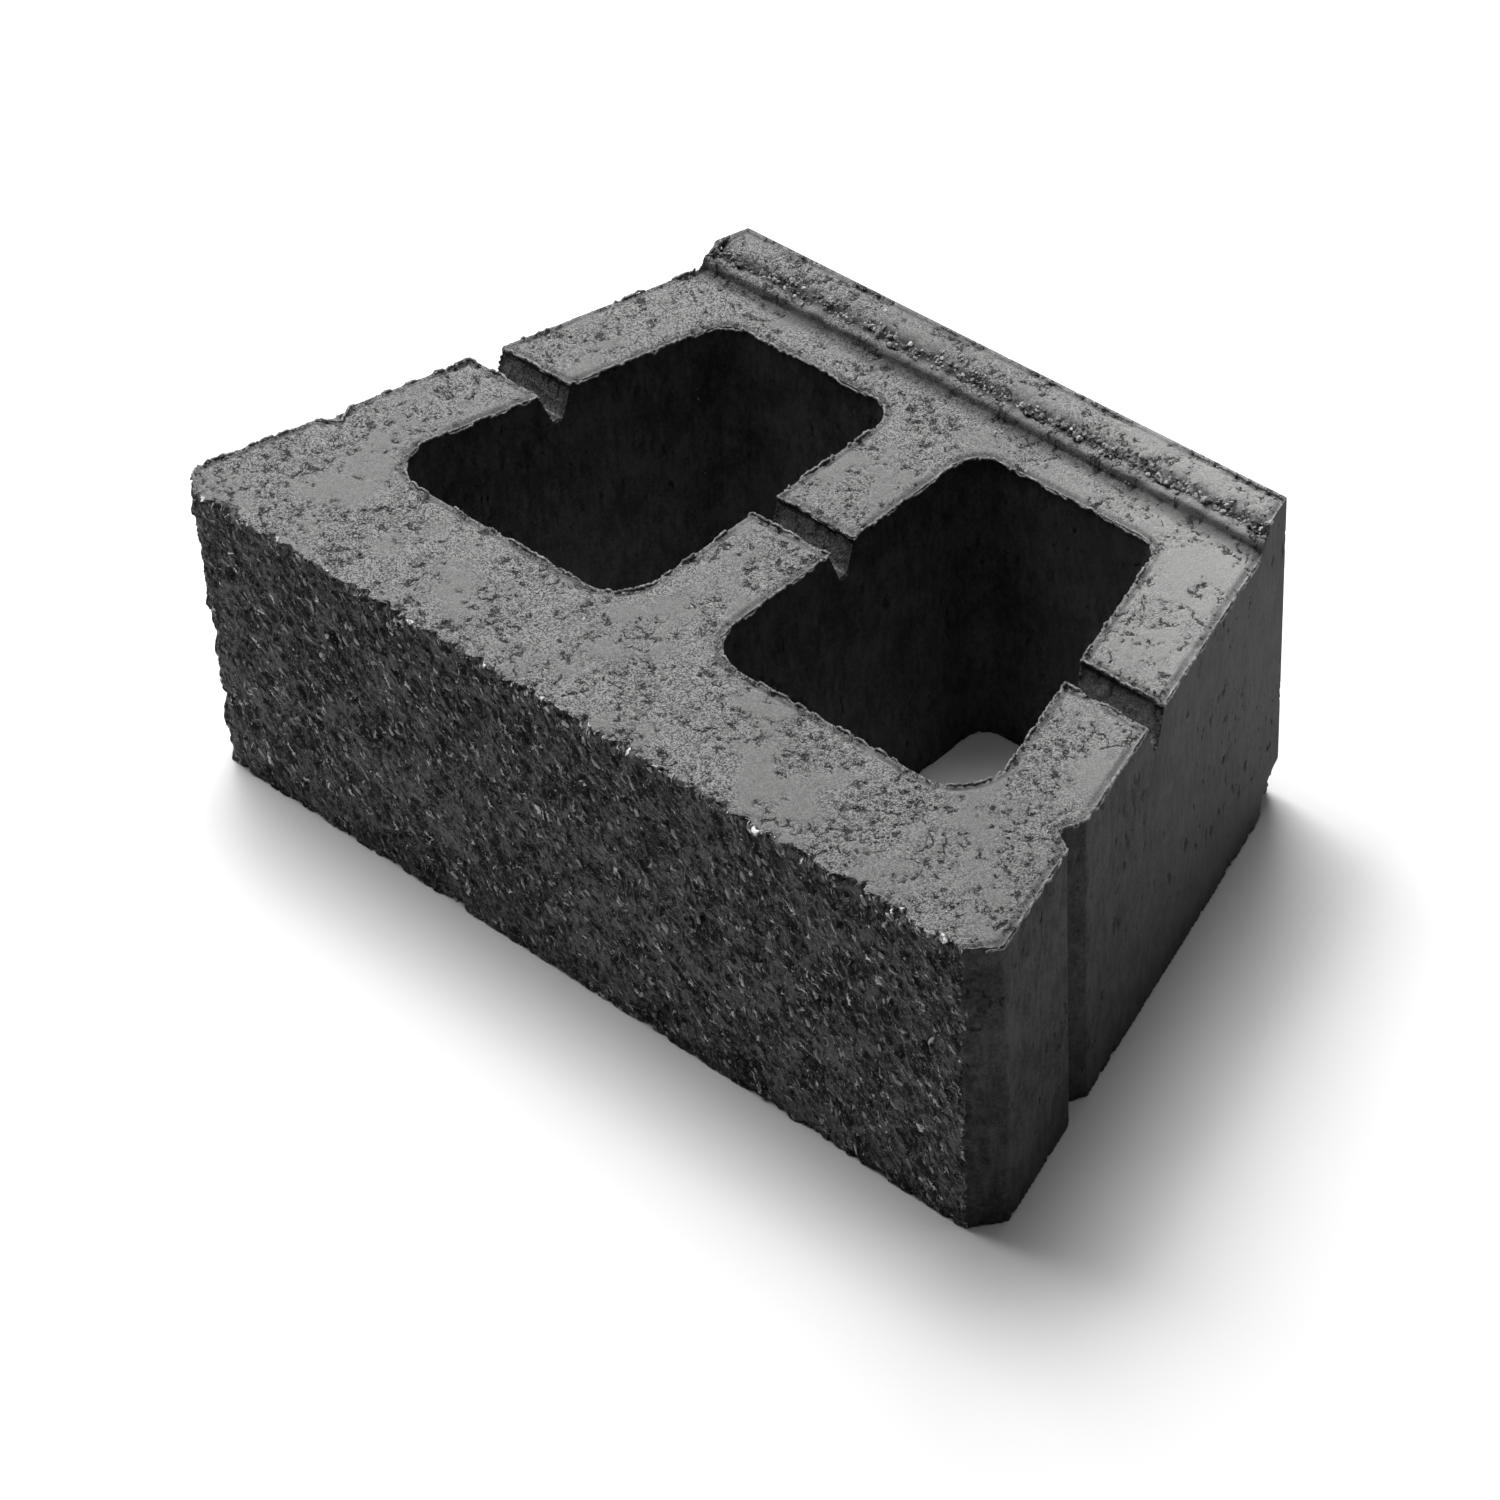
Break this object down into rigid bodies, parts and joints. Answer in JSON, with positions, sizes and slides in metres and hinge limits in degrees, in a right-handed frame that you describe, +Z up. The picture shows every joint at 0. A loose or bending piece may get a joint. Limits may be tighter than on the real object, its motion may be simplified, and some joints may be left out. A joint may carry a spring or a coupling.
{
  "type": "retaining wall block",
  "caption": "Hollow dry-cast concrete retaining wall block with a rough split front face, tapered ends and a locating lip along its rear edge.",
  "frame": {"origin": "middle of the footprint, on the flat bed face that the block rests on (lip uppermost, as cast)", "axes": "+X along the wall, to the right when looking at the split face; +Y from the split face towards the rear lip; +Z up, towards the lip"},
  "size_m": [0.455, 0.281, 0.1644],
  "materials": {
    "cast_concrete": "as-cast, sandy, matt",
    "split_concrete": "split, rough, with exposed stone chips"
  },
  "bodies": {
    "root": {"front_shell": "cast_concrete", "left_end_web": "cast_concrete", "centre_web": "cast_concrete", "right_end_web": "cast_concrete", "rear_shell": "cast_concrete", "rear_lip": "cast_concrete"}
  },
  "joints": []
}
